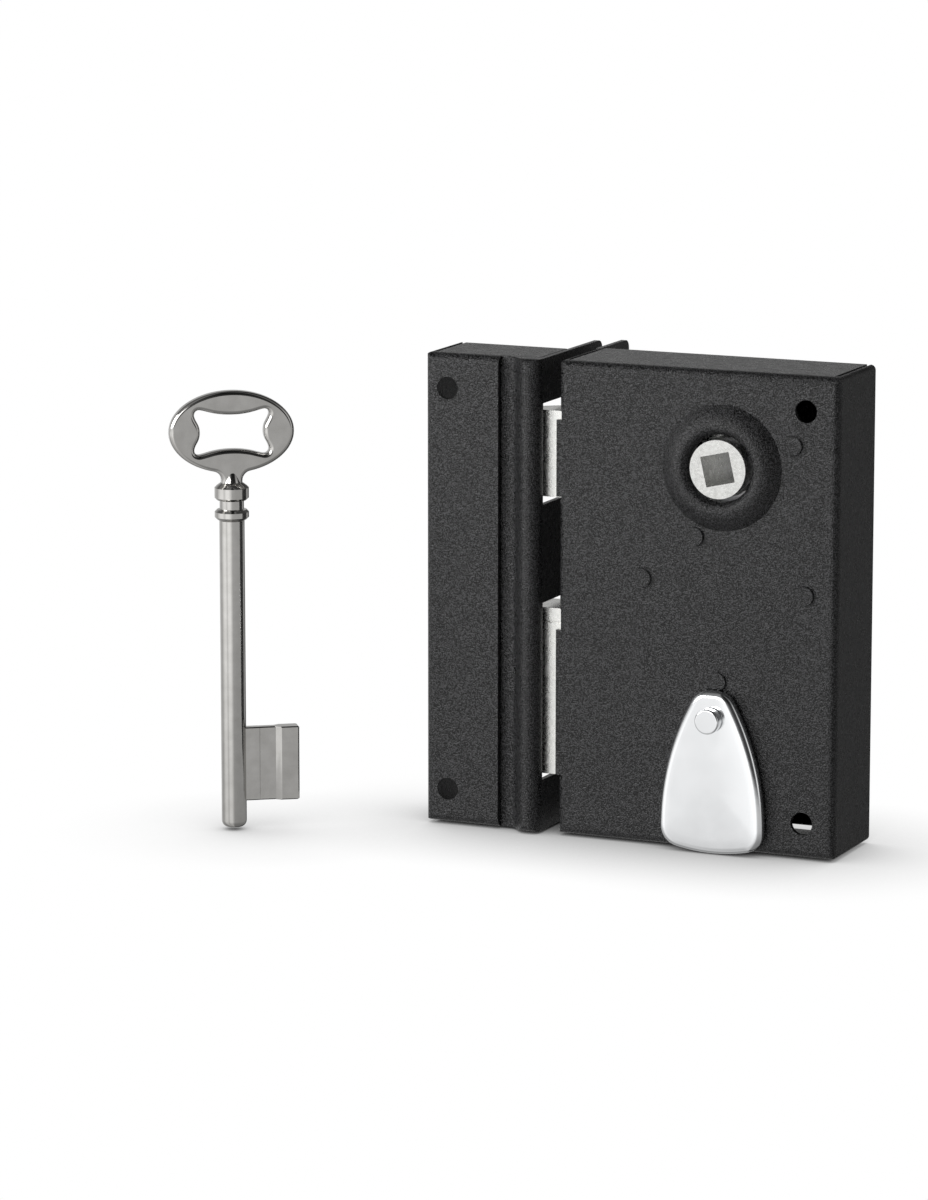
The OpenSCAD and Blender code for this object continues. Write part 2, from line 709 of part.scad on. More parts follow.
module bolt_lever() color(steel) {
    ring_d = spacer_d + 2 * ring_w;
    plate(lever_y, lever_y + lever_t) difference() {
        union() {
            translate(lever_post) circle(d = ring_d);
            translate([lever_post[0], lever_bar[0]])
                square([lever_bar_end - lever_post[0], lever_bar[1] - lever_bar[0]]);
            translate([lever_arm[0], lever_foot_low])
                square([lever_arm[1] - lever_arm[0], lever_bar[1] - lever_foot_low]);
            translate([lever_arm[0], lever_foot_low])
                square([lever_foot_end - lever_arm[0], lever_foot_top - lever_foot_low]);
            translate([stump_x, tail_top - stump_catch])
                square([stump_w, lever_bar[0] - tail_top + stump_catch + small]);
        }
        translate(lever_post) circle(d = post_d + 2 * journal_play);
    }
    block([stump_x, dead_tail_y + small, tail_top - stump_catch],
          [stump_x + stump_w, lever_y + small, tail_top + stump_w]);
}

module lever_spring() color(steel) {
    bar_leg = [lever_bar_end - stump_w, lever_bar[1] + wire_reach];
    wall_end = [wall_leg[0], lever_spring_at[1] + wall_leg[1]];
    wire(wire_path(lever_spring_at, bar_leg, wall_end, lever_y + lever_t / 2, -1));
}

// Keyhole cover: a pressed drop-shaped tray on a rivet
cover_low = bottom + cover_lift - cover_at[1];
cover_wide_up = 6.2;
cover_rim_y = front - rivet_proud - cover_gap;
cover_wide_z = cover_low + cover_wide_up;

module cover_outline(inset) {
    side_r = cover_side_r - cover_round;
    side_x = cover_half - cover_side_r;
    cap_z = cover_top - cover_round;
    offset(r = cover_round - inset) intersection() {
        translate([side_x, cover_wide_z]) circle(side_r, $fn = 180);
        translate([-side_x, cover_wide_z]) circle(side_r, $fn = 180);
        translate([0, cover_low + cover_base_r]) circle(cover_base_r - cover_round, $fn = 180);
        translate([-cover_half, cover_low - over]) square([2 * cover_half, cap_z - cover_low + over]);
    }
}

module keyhole_cover() color(zinc) difference() {
    face = front - cover_proud;
    edge_step = cover_t * 0.6;
    translate([cover_at[0], 0, cover_at[1]]) difference() {
        union() {
            plate(face + cover_t, cover_rim_y) cover_outline(0);
            plate(face, face + cover_t) cover_outline(edge_step);
        }
        plate(face + cover_t, front) cover_outline(cover_t);
    }
    rod_y(cover_at, rivet_neck_d + 4 * fit, face - over, front + over);
}

module cover_rivet() color(zinc) {
    face = front - cover_proud - 2 * fit;
    rod_y(cover_at, cover_head_d, face - cover_head_h, face);
    rod_y(cover_at, rivet_neck_d, face, inner_front);
    rod_y(cover_at, cover_head_d, inner_front, inner_front + over);
}

module cover_spacer() color(steel) difference() {
    rod_y(cover_at, cover_head_d, front - cover_proud + cover_t + 2 * fit, front);
    rod_y(cover_at, rivet_neck_d + 2 * fit, front - cover_proud, front + over);
}

// Keeper: a folded cover, and a side plate with a bead whose slots take the bolts
keeper_holes = [for (z = [bottom + fix_end, top - fix_end]) [keeper_left + keeper_fix_edge, z]];
keeper_front_end = keeper_left + keeper_front_w;
leaf_y = inner_front + fit;
valley_y = leaf_y + valley_d;
valley_back = min(valley_y + sheet, bolt_y - layer_gap);
valley_end = keeper_front_end - small;

module keeper_cover() color(black) difference() {
    open_end = strike_x + 2 * bend_r;
    intersection() {
        pressed([keeper_left, front, bottom], [open_end, keeper_back, top], bend_r);
        plate(front - over, keeper_back + over) round_face(keeper_left, open_end, bottom, top, corner_r);
    }
    pressed([keeper_left + sheet, inner_front, bottom + sheet],
            [open_end + 2 * bend_r, keeper_back + over, top - sheet], bend_r - sheet);
    block([strike_x - sheet - small, front - over, bottom - over], [open_end + over, keeper_back + over, top + over]);
    block([keeper_front_end, front - over, bottom - over],
          [open_end, valley_back + small, top + over]);
    for (z = [bottom - over, top - sheet - small])
        block([keeper_left + sheet, front + bend_r + small, z],
              [keeper_left + sheet + seam, keeper_back + over, z + sheet + small + over]);
    for (at = keeper_holes) rod_y(at, fix_d, front - over, inner_front + over);
}

bead_steps = 10;

// Plan of the bead, from the side plate round the crest to the foot, drawn in by `inset`
function bead_plan(inset) =
    let (
        crest_y = front - bead_proud,
        middle = [strike_x - bead_r, crest_y + bead_r],
        turn = [for (i = [0 : bead_steps])
            let (angle = 90 * i / bead_steps)
            middle + (bead_r - inset) * [cos(angle), -sin(angle)]],
        slope = [for (i = [1 : bead_steps])
            let (t = i / bead_steps, drop = valley_y - crest_y)
            [middle[0] - bead_slope * t, crest_y + inset + drop * (1 - cos(180 * t)) / 2]]
    )
    concat(turn, slope);

module keeper_strike() color(black) {
    back = front + strike_d;
    bead_mid = front - bead_proud + bead_r;
    leaf_end = keeper_front_end - leaf_lap;
    slot_back = bolt_y + bolt_t + keeper_play[0];
    bead_outer = concat(bead_plan(0), [[valley_end, valley_y], [valley_end - valley_d, leaf_y],
                                       [leaf_end, leaf_y], [leaf_end, valley_back], [strike_x, valley_back]]);
    bead_inner = concat(bead_plan(sheet), [[valley_end, valley_back], [valley_end - valley_d, leaf_y + sheet],
                                           [leaf_end - over, leaf_y + sheet], [leaf_end - over, valley_back + over],
                                           [strike_x - sheet, valley_back + over]]);
    difference() {
        union() {
            intersection() {
                translate([0, 0, bottom]) linear_extrude(case_h) polygon(bead_outer);
                bar_x(leaf_end - over, strike_x + over)
                    round_side(front - bead_proud, back, bottom, top, bend_r);
            }
            bar_x(strike_x - sheet, strike_x) {
                translate([bead_mid, bottom]) square([back - bead_mid - 2 * bend_r, case_h]);
                round_face(back - 4 * bend_r, back, bottom, top, bend_r);
            }
        }
        translate([0, 0, bottom + sheet]) linear_extrude(case_h - 2 * sheet) polygon(bead_inner);
        for (z = [bottom - over, top - bend_r])
            block([leaf_end - over, leaf_y - small, z], [valley_end - small, back, z + bend_r + over]);
        for (z = [bottom - over, top - bend_r + small])
            block([valley_end - 2 * small, leaf_y - small, z],
                  [keeper_front_end + fit, front + bend_r, z + bend_r - small + over]);
        for (z = [bottom - over, top - sheet - 2 * fit])
            block([valley_end - 2 * small, leaf_y - small, z],
                  [keeper_front_end + fit, back, z + sheet + 2 * fit + over]);
        block([strike_x - bead_r - over, front + keeper_slot_set, latch_z - keeper_play[0]],
              [strike_x + over, slot_back, latch_z + latch_h + keeper_play[0]]);
        block([strike_x - bead_r - over, front + keeper_slot_set, dead_z - keeper_play[1]],
              [strike_x + over, slot_back, dead_top + keeper_play[1]]);
        for (z = [bottom + lap_fix_end, top - lap_fix_end])
            rod_x((keeper_back + back) / 2, z, lap_fix_d, strike_x - sheet - over, strike_x + over);
    }
}

// Key: stem with two collars, a bit with a thicker lip, and an oval bow with a pinched hole
bow_points = 48;

function oval(w, h) = [for (i = [0 : bow_points - 1])
    let (a = 360 * i / bow_points)
    [w / 2 * cos(a), h / 2 * sin(a)]];

function pinched(size) = [for (i = [0 : bow_points - 1])
    let (a = 360 * i / bow_points)
    [size[0] * (cos(a) - bow_pinch * cos(3 * a)), size[1] * (sin(a) + bow_pinch * sin(3 * a))]];

module key_turned() {
    stem_r = stem_d / 2;
    tip_r = 1.6;
    bow_foot = key_l - bow_h;
    upper = bow_foot - neck_h - collar_h[0];
    lower = upper - groove_h - collar_h[1];
    rotate_extrude() polygon(concat(
        [[0, 0]],
        [for (i = [0 : 6]) [stem_r - tip_r * (1 - sin(15 * i)), tip_r * (1 - cos(15 * i))]],
        [[stem_r, lower], [collar_d / 2, lower], [collar_d / 2, lower + collar_h[1]],
         [neck_d / 2, lower + collar_h[1]], [neck_d / 2, upper], [collar_d / 2, upper],
         [collar_d / 2, upper + collar_h[0]], [neck_d / 2, upper + collar_h[0]],
         [neck_d / 2, bow_foot + over], [0, bow_foot + over]]
    ));
}

module key() color(nickel)
    translate([left - key_stand[0], front - key_stand[1], bottom]) rotate([0, 0, key_turn]) {
        key_turned();
        block([0, -bit_t / 2, bit_up], [bit_reach, bit_t / 2, bit_up + bit_l]);
        block([bit_reach - lip_w, -lip_t / 2, bit_up], [bit_reach, lip_t / 2, bit_up + bit_l]);
        plate(-bow_t / 2, bow_t / 2) translate([0, key_l - bow_h / 2]) difference() {
            polygon(oval(bow_w, bow_h));
            polygon(pinched(bow_hole));
        }
    }

case_shell();
back_plate();
back_plate_screws();
latch_spring_post();
follower_spring_post();
lever_pivot_post();
lever_spring_post();
bolt_guide_post();
lever_spacers();
follower();
follower_spring();
latch_head();
latch_tail();
latch_rivets();
latch_spring();
dead_bolt_head();
dead_bolt_tail();
dead_bolt_rivets();
bolt_lever();
lever_spring();
keyhole_cover();
cover_rivet();
cover_spacer();
keeper_cover();
keeper_strike();
key();
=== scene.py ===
"""Rim box lock with keeper and key: finishes, a pressed cover, a forged key, springs, light and camera."""

import json
import math

import bmesh
import bpy
from mathutils import Matrix, Vector
from mathutils.geometry import convex_hull_2d


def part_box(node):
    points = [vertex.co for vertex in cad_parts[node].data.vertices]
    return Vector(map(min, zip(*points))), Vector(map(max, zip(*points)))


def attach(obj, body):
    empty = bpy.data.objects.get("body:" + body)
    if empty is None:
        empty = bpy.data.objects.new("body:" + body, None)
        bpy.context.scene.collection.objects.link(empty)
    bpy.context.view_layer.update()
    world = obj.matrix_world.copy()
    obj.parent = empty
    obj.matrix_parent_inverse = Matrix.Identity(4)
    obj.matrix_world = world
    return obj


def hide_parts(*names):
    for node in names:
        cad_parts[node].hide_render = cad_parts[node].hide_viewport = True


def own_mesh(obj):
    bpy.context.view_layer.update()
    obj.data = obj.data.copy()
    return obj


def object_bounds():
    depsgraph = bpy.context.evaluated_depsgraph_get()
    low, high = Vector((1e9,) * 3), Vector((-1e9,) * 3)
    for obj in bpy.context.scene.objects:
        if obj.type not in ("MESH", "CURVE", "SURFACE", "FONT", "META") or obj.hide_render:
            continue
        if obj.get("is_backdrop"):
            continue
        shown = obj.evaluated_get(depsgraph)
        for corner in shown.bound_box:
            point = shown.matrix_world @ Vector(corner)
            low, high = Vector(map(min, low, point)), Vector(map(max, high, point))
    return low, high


MM = 0.001
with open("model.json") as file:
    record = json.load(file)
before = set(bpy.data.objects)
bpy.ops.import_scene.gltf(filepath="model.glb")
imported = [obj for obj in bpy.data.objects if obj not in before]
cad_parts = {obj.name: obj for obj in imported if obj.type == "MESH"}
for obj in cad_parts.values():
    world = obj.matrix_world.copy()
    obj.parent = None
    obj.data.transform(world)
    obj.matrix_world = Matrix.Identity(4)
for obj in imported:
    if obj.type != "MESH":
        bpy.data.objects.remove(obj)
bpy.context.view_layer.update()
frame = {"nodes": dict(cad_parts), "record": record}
nodes = frame["nodes"]

# The lengths below are in millimetres and the angles in degrees

# Camera: the point it looks at, where it looks from, its lens, and the nearest and farthest it sees
CAMERA_AIM = Vector((-64.8, -20.0, -35.7))
CAMERA_AZIMUTH = 24.24
CAMERA_ELEVATION = 10.7
CAMERA_DISTANCE = 1236.0
CAMERA_LENS = 160.5
CAMERA_CLIP = (50.0, 20000.0)

# Lamps: place, point aimed at, width and height, and power in watts
LEFT_LAMP = {"place": (-450, -400, 190), "aim": (-30, -20, -30), "size": (300, 300), "power": 1.5}
FRONT_LAMP = {"place": (-130, -600, 180), "aim": (-30, -20, -30), "size": (300, 300), "power": 0.8}
BACK_LAMP = {"place": (-620, 300, -40), "aim": (-30, -20, -40), "size": (300, 80), "power": 3.6}

# World: the strength of its light from all round
WORLD_LIGHT = 0.02
WHITE = (1, 1, 1, 1)

# Surroundings that glossy surfaces mirror, as pairs of a place and its brightness. Low and high are for
# directions below and above the horizon, and run from the left (0) by the front (0.25), the right (0.5)
# and the back (0.75) to the left again. Height dims both, from straight down (0) to straight up (1).
MIRRORED_LOW = (
    (0.0, 0.5), (0.1, 1.2), (0.155, 1.2), (0.172, 0.95), (0.195, 0.95), (0.215, 1.25), (0.27, 1.25),
    (0.3, 0.95), (0.335, 0.58), (0.4, 0.53), (0.48, 0.5), (0.57, 0.5), (0.62, 0.44), (0.69, 0.44),
    (0.725, 0.08), (0.765, 0.08), (0.8, 0.7), (0.92, 0.7), (1.0, 0.6),
)
MIRRORED_HIGH = (
    (0.0, 0.5), (0.1, 0.95), (0.195, 0.95), (0.215, 1.2), (0.25, 1.1), (0.29, 0.2), (0.36, 0.05),
    (0.45, 0.06), (0.49, 1.0), (0.55, 0.3), (0.65, 0.26), (0.7, 0.26), (0.74, 0.1), (0.77, 0.1),
    (0.8, 0.55), (0.92, 0.55), (1.0, 0.5),
)
MIRRORED_HEIGHT = (
    (0.0, 0.45), (0.15, 0.5), (0.34, 0.75), (0.4, 1.0), (0.5, 1.0), (0.65, 0.9), (0.78, 0.3), (1.0, 0.2),
)

# Upward part of a direction where low begins to turn into high, and where it has turned
HORIZON = (-0.12, 0.02)

# Floor: half its side, its gap below the lowest piece, its colour and roughness, and its shadow's reach
FLOOR_HALF = 2500.0
FLOOR_GAP = 0.1
FLOOR_COLOUR = (0.8, 0.8, 0.8, 1)
FLOOR_ROUGHNESS = 0.9
FLOOR_SHADOW = 40.0

# Noise in the finishes: the values that it mostly lies between, and how streaks are drawn out along an axis
NOISE_SPAN = (0.3, 0.7)
EVEN = (1, 1, 1)
TOOL_STREAKS = (1, 0.06, 1)
ROLLING_STREAKS = (1, 1, 0.1)

# Points closer than this are one
WELD = 0.001

# Rounding of edges: its width on each kind of piece, its steps, and the angle past which an edge is sharp
SHEET_EDGE = 0.18
BOLT_EDGE = 0.3
TURNED_EDGE = 0.25
RIVET_EDGE = 0.45
POST_EDGE = 0.1
EDGE_STEPS = 3
EDGE_ANGLE = 35.0

# Faces that differ by less than this angle are joined into one flat face
FLAT_ANGLE = 0.4

# Keyhole cover: radius of its rolled edge, its sheet, the crown of its face, and the steps of edge and crown
COVER_ROLL = 1.7
COVER_SHEET = 0.8
COVER_CROWN = 0.25
COVER_STEPS = 8

# Points of the CAD cover within this of its back make its rim, which is redrawn with so many points
COVER_RIM_BAND = 0.1
COVER_POINTS = 160

# Key, measured up from its tip and out from its axis; its turn is about that axis
KEY_TURN = 35.0
KEY_STEM_R = 2.9
KEY_TIP_R = 1.6
KEY_TIP_STEPS = 6
KEY_SIDES = 64
KEY_NECK_R = 2.4
KEY_GROOVE_R = 2.8
KEY_COLLAR_R = 3.95
KEY_COLLAR_EDGE = 0.55
KEY_UPPER_COLLAR = (76.8, 80.2)
KEY_LOWER_COLLAR = (72.3, 74.6)

# Heights of the slopes from the stem, the groove and the neck up to the collars beside them
KEY_STEM_SLOPE = 0.3
KEY_GROOVE_SLOPE = 0.15
KEY_NECK_SLOPE = 0.7

# The neck's end inside the bow: pairs of a share of the neck's radius and a height above the bow's foot
KEY_NECK_END = ((0.72, 0.0), (0.5, 0.8), (0.0, 1.2))

# Bow: its neck starts inside the upper collar, and its hole is one quarter about its middle, right to top
KEY_BOW_FOOT = 83.1
KEY_BOW_HALF = (14.4, 9.5)
KEY_BOW_T = 3.4
KEY_BOW_EDGE = 0.9
KEY_BOW_EDGE_STEPS = 4
KEY_BOW_SUNK = 0.3
KEY_OVAL_STEPS = 72
KEY_FILLET = 2.2
KEY_FILLET_STEPS = 10
KEY_HOLE = (
    (7.35, 0.0), (7.6, 1.5), (8.35, 3.0), (8.65, 4.0), (8.4, 4.85), (7.7, 5.2), (6.7, 5.05), (4.4, 4.45),
    (2.2, 4.1), (0.0, 4.0),
)
KEY_HOLE_STEPS = 5

# Bit: the web has a fine step, and the lip at its outer end is thicker
KEY_BIT_REACH = 15.1
KEY_BIT_SPAN = (6.2, 23.5)
KEY_BIT_EDGE = 0.25
KEY_WEB_T = 2.2
KEY_STEP_AT = 5.9
KEY_STEP = 0.1
KEY_LIP_T = 3.6
KEY_LIP_SLOPE = (9.7, 11.0)
KEY_LIP_CORNER = 0.3

# Points of the CAD key within this of its tip give its axis; edges past the angle stay crisp
KEY_TIP_BAND = 0.5
KEY_CRISP_ANGLE = 24.0

# Halvings of a range when a value is searched for
HALVINGS = 40

# Springs: points within this of the leg's end are its tip
SPRING_TIP = 2.0


class Shader:
    """A new material with short ways to add and wire its nodes."""

    def __init__(self, name):
        self.material = bpy.data.materials.new(name)
        self.material.use_nodes = True
        self.tree = self.material.node_tree
        self.surface = self.tree.nodes["Principled BSDF"]
        self.place = self.add("ShaderNodeTexCoord").outputs["Object"]

    def add(self, kind):
        return self.tree.nodes.new(kind)

    def link(self, source, target):
        self.tree.links.new(source, target)

    def noise(self, size_mm, detail=2.0, stretch=EVEN):
        """Noise whose lumps are about size_mm across, as a value from 0 to 1."""
        scaled = self.add("ShaderNodeMapping")
        scaled.inputs["Scale"].default_value = stretch
        self.link(self.place, scaled.inputs["Vector"])
        noise = self.add("ShaderNodeTexNoise")
        noise.inputs["Scale"].default_value = 1 / (size_mm * MM)
        noise.inputs["Detail"].default_value = detail
        self.link(scaled.outputs["Vector"], noise.inputs["Vector"])
        return noise.outputs["Fac"]

    def colour(self, value, dark, light, span=NOISE_SPAN):
        """The base colour, from dark to light as value goes through span."""
        node = self.add("ShaderNodeValToRGB")
        first, last = node.color_ramp.elements
        first.position, last.position = span
        first.color = (*dark, 1)
        last.color = (*light, 1)
        self.link(value, node.inputs["Fac"])
        self.link(node.outputs["Color"], self.surface.inputs["Base Color"])

    def rough(self, value, low, high):
        """The roughness, from low to high as value goes through the span of noise."""
        result = mapped(self.tree, value, NOISE_SPAN, (low, high))
        self.link(result, self.surface.inputs["Roughness"])

    def bump(self, layers):
        """layers: (value, height in millimetres), added on top of one another."""
        normal = None
        for value, height in layers:
            node = self.add("ShaderNodeBump")
            node.inputs["Distance"].default_value = height * MM
            self.link(value, node.inputs["Height"])
            if normal:
                self.link(normal, node.inputs["Normal"])
            normal = node.outputs["Normal"]
        self.link(normal, self.surface.inputs["Normal"])


def mapped(tree, value, span, result):
    """value, carried from the range span to the range result."""
    node = tree.nodes.new("ShaderNodeMapRange")
    node.inputs["From Min"].default_value, node.inputs["From Max"].default_value = span
    node.inputs["To Min"].default_value, node.inputs["To Max"].default_value = result
    tree.links.new(value, node.inputs["Value"])
    return node.outputs["Result"]


def black_paint():
    """Fine-grained black epoxy paint."""
    shader = Shader("black_paint")
    shader.surface.inputs["Specular IOR Level"].default_value = 0.34
    grain = shader.noise(size_mm=0.26, detail=0.0)
    shader.colour(grain, dark=(0.001, 0.001, 0.001), light=(0.078, 0.078, 0.081), span=(0.44, 0.62))
    shader.rough(shader.noise(size_mm=2.5), low=0.25, high=0.31)
    shader.bump([(grain, 0.18)])
    return shader.material


def zinc(name, dark, light):
    """Zinc with a mottled face and the streaks of the tool from front to back."""
    shader = Shader(name)
    shader.surface.inputs["Metallic"].default_value = 0.8
    shader.colour(shader.noise(size_mm=0.8, detail=3.0, stretch=TOOL_STREAKS), dark, light)
    shader.rough(shader.noise(size_mm=1.5), low=0.22, high=0.32)
    mottle = shader.noise(size_mm=0.6, detail=3.0)
    streaks = shader.noise(size_mm=0.3, stretch=TOOL_STREAKS)
    shader.bump([(mottle, 0.03), (streaks, 0.015)])
    return shader.material


def cover_nickel():
    """Bright plated sheet, almost a mirror, with a trace of rolling marks."""
    shader = Shader("cover_nickel")
    shader.surface.inputs["Metallic"].default_value = 1
    shader.colour(shader.noise(size_mm=6.0), dark=(0.85, 0.86, 0.87), light=(0.89, 0.9, 0.91))
    shader.rough(shader.noise(size_mm=3.0, detail=3.0), low=0.09, high=0.15)
    waves = shader.noise(size_mm=5.0)
    streaks = shader.noise(size_mm=0.4, stretch=ROLLING_STREAKS)
    shader.bump([(waves, 0.003), (streaks, 0.002)])
    return shader.material


def key_nickel():
    """Warm nickel plate over forged steel, a little uneven."""
    shader = Shader("key_nickel")
    shader.surface.inputs["Metallic"].default_value = 1
    shader.colour(shader.noise(size_mm=3.0, detail=4.0), dark=(0.53, 0.52, 0.5), light=(0.61, 0.6, 0.58))
    shader.rough(shader.noise(size_mm=2.0, detail=3.0), low=0.06, high=0.12)
    waves = shader.noise(size_mm=4.0)
    grain = shader.noise(size_mm=0.35, detail=3.0)
    shader.bump([(waves, 0.012), (grain, 0.002)])
    return shader.material


def oiled_steel():
    """Plain steel of the inner works."""
    shader = Shader("oiled_steel")
    shader.surface.inputs["Metallic"].default_value = 1
    shader.colour(shader.noise(size_mm=2.0, detail=4.0), dark=(0.34, 0.34, 0.35), light=(0.5, 0.5, 0.51))
    shader.rough(shader.noise(size_mm=1.2), low=0.3, high=0.45)
    shader.bump([(shader.noise(size_mm=0.5, detail=3.0), 0.01)])
    return shader.material


# One finish for each slot of the record, and a duller zinc for the hub
FINISH = {
    "black_paint": black_paint(),
    "zinc": zinc("zinc_plate", dark=(0.88, 0.88, 0.85), light=(0.99, 0.99, 0.96)),
    "hub": zinc("zinc_hub", dark=(0.62, 0.62, 0.6), light=(0.78, 0.78, 0.76)),
    "cover_nickel": cover_nickel(),
    "key_nickel": key_nickel(),
    "steel": oiled_steel(),
}


def finish(piece, slot):
    """Give a piece the finish of a slot as its only material."""
    piece.data.materials.clear()
    piece.data.materials.append(FINISH[slot])


def soften(piece, width):
    """Round the edges of a CAD node by width and smooth its faces."""
    weld = piece.modifiers.new("weld", "WELD")
    weld.merge_threshold = WELD * MM
    flat = piece.modifiers.new("flat", "DECIMATE")
    flat.decimate_type = "DISSOLVE"
    flat.angle_limit = math.radians(FLAT_ANGLE)
    bevel = piece.modifiers.new("bevel", "BEVEL")
    bevel.width = width * MM
    bevel.segments = EDGE_STEPS
    bevel.limit_method = "ANGLE"
    bevel.angle_limit = math.radians(EDGE_ANGLE)
    piece.modifiers.new("normals", "WEIGHTED_NORMAL")
    piece.data.shade_smooth()


EDGES = {
    "case_shell": SHEET_EDGE,
    "back_plate": SHEET_EDGE,
    "keeper_cover": SHEET_EDGE,
    "keeper_strike": SHEET_EDGE,
    "latch_head": BOLT_EDGE,
    "dead_bolt_head": BOLT_EDGE,
    "follower": TURNED_EDGE,
    "cover_rivet": RIVET_EDGE,
    "latch_spring_post": POST_EDGE,
    "follower_spring_post": POST_EDGE,
    "lever_pivot_post": POST_EDGE,
    "lever_spring_post": POST_EDGE,
    "bolt_guide_post": POST_EDGE,
}

for row in frame["record"]["subparts"]:
    finish(nodes[row["node"]], row["material_slot"])
finish(nodes["follower"], "hub")
for name, width in EDGES.items():
    soften(nodes[name], width)


def new_piece(name, shape, body, slot):
    """A mesh object from a bmesh, riding on a body and finished like a slot of the record."""
    bmesh.ops.recalc_face_normals(shape, faces=shape.faces)
    mesh = bpy.data.meshes.new(name)
    shape.to_mesh(mesh)
    shape.free()
    mesh.shade_smooth()
    piece = bpy.data.objects.new(name, mesh)
    bpy.context.scene.collection.objects.link(piece)
    finish(piece, slot)
    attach(piece, body)
    return piece


def bridge(shape, lower, upper):
    """Faces between two closed rings of the same count."""
    count = len(lower)
    for i in range(count):
        after = (i + 1) % count
        shape.faces.new((lower[i], lower[after], upper[after], upper[i]))


def drawn_in(outline, inset):
    """The closed outline of (x, z) points moved inward by inset."""
    moved = []
    count = len(outline)
    for i, point in enumerate(outline):
        along = (outline[(i + 1) % count] - outline[i - 1]).normalized()
        moved.append(point + inset * Vector((-along[1], along[0])))
    return moved


def evenly(outline, count):
    """The closed outline as count points at even distances along it."""
    following = outline[1:] + outline[:1]
    lengths = [(after - point).length for point, after in zip(outline, following)]
    step = sum(lengths) / count
    points = []
    walked = 0.0
    for point, after, length in zip(outline, following, lengths):
        while len(points) * step < walked + length and len(points) < count:
            points.append(point.lerp(after, (len(points) * step - walked) / length))
        walked += length
    return points


def cover_outline():
    """The rim of the CAD cover, which has no hollow side, as (x, z) points in order."""
    _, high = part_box("keyhole_cover")
    rim = []
    for corner in nodes["keyhole_cover"].data.vertices:
        if corner.co[1] > high[1] - COVER_RIM_BAND * MM:
            rim.append(Vector((corner.co[0], corner.co[2])))
    return evenly([rim[i] for i in convex_hull_2d(rim)], COVER_POINTS)


def keyhole_cover():
    """A pressed tray: crowned face, rolled edge and a wall that turns back to the case."""
    low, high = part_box("keyhole_cover")
    outline = cover_outline()
    face, back = low[1], high[1]
    roll, sheet, crown = COVER_ROLL * MM, COVER_SHEET * MM, COVER_CROWN * MM
    profile = [(sheet, back), (0.0, back)]
    for i in range(COVER_STEPS + 1):
        turn = math.radians(90 * i / COVER_STEPS)
        profile.append((roll * (1 - math.cos(turn)), face + crown + roll * (1 - math.sin(turn))))
    shape = bmesh.new()
    rings = []
    for inset, y in profile:
        rings.append([shape.verts.new((x, y, z)) for x, z in drawn_in(outline, inset)])
    edge = drawn_in(outline, roll)
    middle = sum(edge, Vector((0, 0))) / len(edge)
    for i in range(1, COVER_STEPS):
        share = i / COVER_STEPS
        y = face + crown * (1 - share) ** 2
        inner = [point.lerp(middle, share) for point in edge]
        rings.append([shape.verts.new((x, y, z)) for x, z in inner])
    for lower, upper in zip(rings, rings[1:]):
        bridge(shape, lower, upper)
    tip = shape.verts.new((middle[0], face, middle[1]))
    for i, corner in enumerate(rings[-1]):
        shape.faces.new((corner, rings[-1][(i + 1) % len(edge)], tip))
    bottom = [shape.verts.new((x, face + crown + sheet, z)) for x, z in drawn_in(outline, sheet)]
    bridge(shape, bottom, rings[0])
    shape.faces.new(bottom)
    piece = new_piece("keyhole_cover_pressed", shape, "cover", "cover_nickel")
    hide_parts("keyhole_cover")


def lathe(shape, profile):
    """Adds a solid of revolution about Z from (radius, z) points; the end points lie on the axis."""
    turns = [2 * math.pi * i / KEY_SIDES for i in range(KEY_SIDES)]
    rings = []
    for radius, z in profile[1:-1]:
        rings.append([
            shape.verts.new((radius * math.cos(turn), radius * math.sin(turn), z)) for turn in turns
        ])
    for lower, upper in zip(rings, rings[1:]):
        bridge(shape, lower, upper)
    for ring, end in ((rings[0], profile[0]), (rings[-1], profile[-1])):
        tip = shape.verts.new((0, 0, end[1]))
        for i in range(KEY_SIDES):
            shape.faces.new((ring[i], ring[(i + 1) % KEY_SIDES], tip))


def collar(low, high):
    """Profile of a collar with sloping edges between two heights."""
    edge, out = KEY_COLLAR_EDGE, KEY_COLLAR_R
    return [(out - edge, low), (out, low + edge), (out, high - edge), (out - edge, high)]


def key_stem(shape):
    """The turned stem: round tip, two collars with a groove between them, and the neck."""
    profile = [(0, 0)]
    for i in range(KEY_TIP_STEPS + 1):
        turn = math.radians(90 * i / KEY_TIP_STEPS)
        radius = KEY_STEM_R - KEY_TIP_R * (1 - math.sin(turn))
        profile.append((radius, KEY_TIP_R * (1 - math.cos(turn))))
    profile.append((KEY_STEM_R, KEY_LOWER_COLLAR[0] - KEY_STEM_SLOPE))
    profile += collar(*KEY_LOWER_COLLAR)
    profile.append((KEY_GROOVE_R, KEY_LOWER_COLLAR[1] + KEY_GROOVE_SLOPE))
    profile.append((KEY_GROOVE_R, KEY_UPPER_COLLAR[0] - KEY_GROOVE_SLOPE))
    profile += collar(*KEY_UPPER_COLLAR)
    profile.append((KEY_NECK_R, KEY_UPPER_COLLAR[1] + KEY_NECK_SLOPE))
    profile += [(share * KEY_NECK_R, KEY_BOW_FOOT + rise) for share, rise in KEY_NECK_END]
    lathe(shape, profile)


